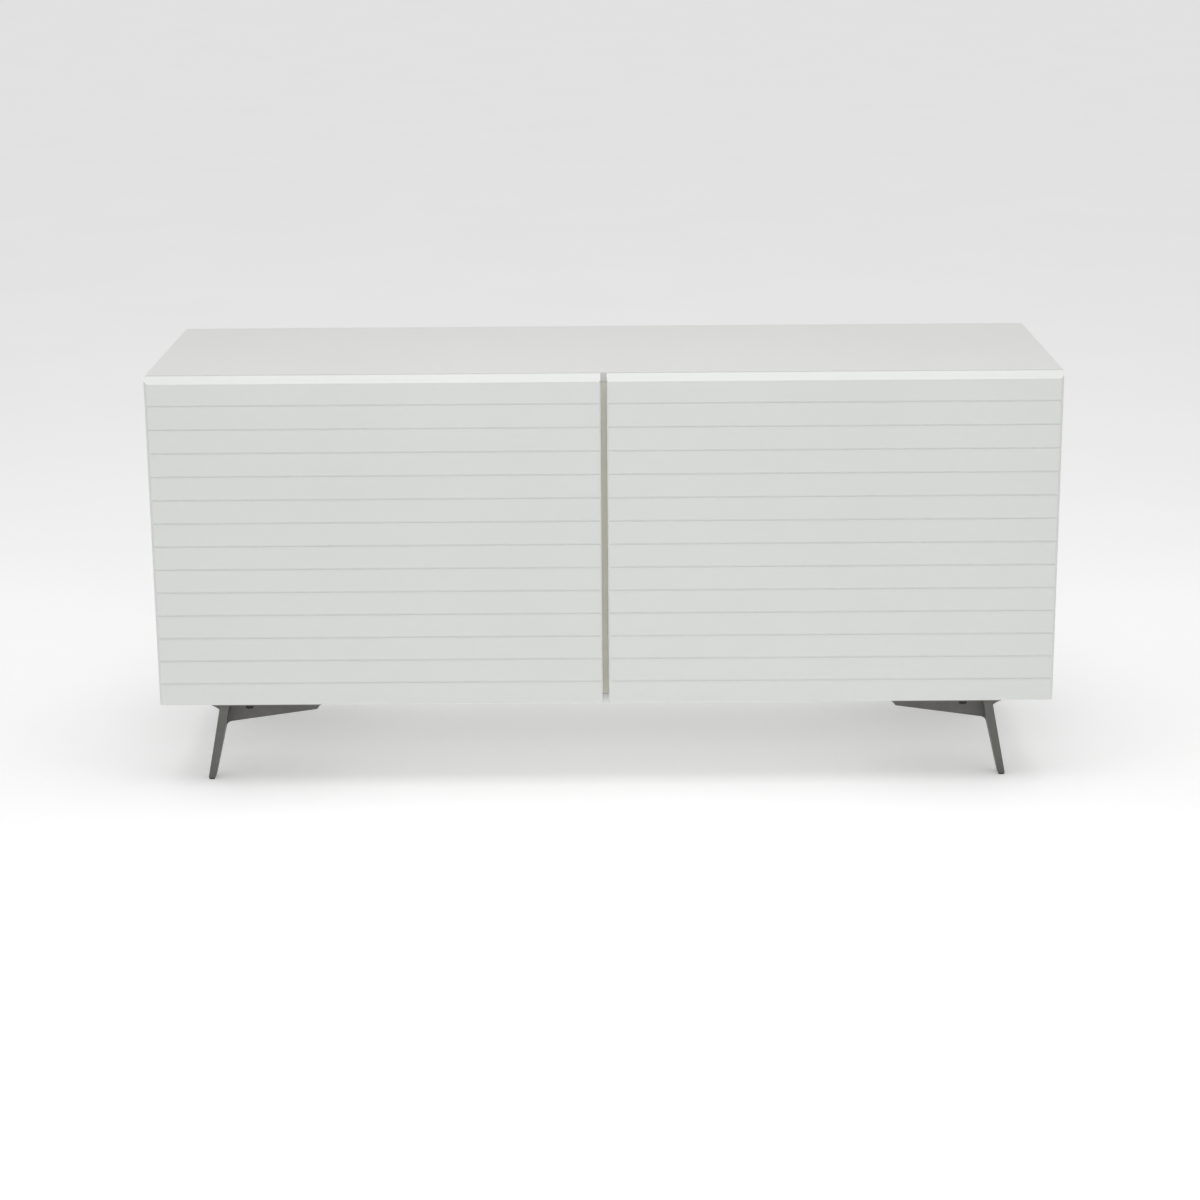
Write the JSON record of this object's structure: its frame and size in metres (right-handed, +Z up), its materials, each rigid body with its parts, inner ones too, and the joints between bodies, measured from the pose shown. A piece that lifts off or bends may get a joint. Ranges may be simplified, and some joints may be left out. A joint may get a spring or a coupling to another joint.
{
  "type": "tv stand with doors",
  "caption": "Low white cabinet with a pair of horizontally grooved hinged doors, a shelf in each bay, and splayed cast metal legs with web brackets.",
  "frame": {"origin": "on the floor under the middle of the cabinet's box", "axes": "+Z up, +X to the right along the front, the doors face -Y"},
  "size_m": [1.5, 0.48, 0.705],
  "materials": {
    "white_lacquer": "satin white lacquer on fibreboard",
    "white_board": "satin white lacquer on fibreboard",
    "leg_metal": "satin anthracite powder coat on cast metal",
    "glide_plastic": "matte black",
    "screw_steel": "black oxide",
    "hinge_steel": "bright nickel plate",
    "pin_steel": "zinc plate",
    "dowel_wood": "plain beech",
    "grommet_plastic": "white moulded plastic",
    "bumper_rubber": "clear soft bumper"
  },
  "bodies": {
    "cabinet": {"bottom_panel": "white_board", "cam_bolts": "pin_steel", "cam_locks": "pin_steel", "centre_partition": "white_board", "door_bumpers": "bumper_rubber", "front_left_glide": "glide_plastic", "front_left_leg": "leg_metal", "front_right_glide": "glide_plastic", "front_right_leg": "leg_metal", "hinge_arm_pins": "hinge_steel", "hinge_arm_screws": "hinge_steel", "hinge_plate_screws": "hinge_steel", "left_back_panel": "white_board", "left_cable_grommet": "grommet_plastic", "left_lower_hinge_arm": "hinge_steel", "left_lower_hinge_plate": "hinge_steel", "left_shelf": "white_board", "left_shelf_pins": "pin_steel", "left_side_panel": "white_board", "left_upper_hinge_arm": "hinge_steel", "left_upper_hinge_plate": "hinge_steel", "leg_screws": "screw_steel", "rear_left_glide": "glide_plastic", "rear_left_leg": "leg_metal", "rear_right_glide": "glide_plastic", "rear_right_leg": "leg_metal", "right_back_panel": "white_board", "right_cable_grommet": "grommet_plastic", "right_lower_hinge_arm": "hinge_steel", "right_lower_hinge_plate": "hinge_steel", "right_shelf": "white_board", "right_shelf_pins": "pin_steel", "right_side_panel": "white_board", "right_upper_hinge_arm": "hinge_steel", "right_upper_hinge_plate": "hinge_steel", "top_panel": "white_board", "wood_dowels": "dowel_wood"},
    "left_door": {"left_door": "white_lacquer", "left_hinge_cup_pins": "hinge_steel", "left_hinge_cup_screws": "hinge_steel", "left_lower_hinge_cup": "hinge_steel", "left_upper_hinge_cup": "hinge_steel"},
    "left_hinge_links": {"left_lower_hinge_link": "hinge_steel", "left_upper_hinge_link": "hinge_steel"},
    "right_door": {"right_door": "white_lacquer", "right_hinge_cup_pins": "hinge_steel", "right_hinge_cup_screws": "hinge_steel", "right_lower_hinge_cup": "hinge_steel", "right_upper_hinge_cup": "hinge_steel"},
    "right_hinge_links": {"right_lower_hinge_link": "hinge_steel", "right_upper_hinge_link": "hinge_steel"}
  },
  "joints": [
    {"name": "left_door_hinge", "type": "hinge", "parent": "cabinet", "child": "left_door", "pos_m": [-0.7435, -0.23, 0.425], "axis": [0, 0, -1], "range_deg": [0, 100]},
    {"name": "left_link_pivot", "type": "hinge", "parent": "cabinet", "child": "left_hinge_links", "pos_m": [-0.72664, -0.22778, 0.425], "axis": [0, 0, 1], "range_deg": [0, 31.06]},
    {"name": "right_door_hinge", "type": "hinge", "parent": "cabinet", "child": "right_door", "pos_m": [0.7435, -0.23, 0.425], "axis": [0, 0, 1], "range_deg": [0, 100]},
    {"name": "right_link_pivot", "type": "hinge", "parent": "cabinet", "child": "right_hinge_links", "pos_m": [0.72664, -0.22778, 0.425], "axis": [0, 0, -1], "range_deg": [0, 31.06]}
  ],
  "couplings": [
    {"joint": "left_link_pivot", "follows": "left_door_hinge", "ratio": 0.31054},
    {"joint": "right_link_pivot", "follows": "right_door_hinge", "ratio": 0.31054}
  ]
}
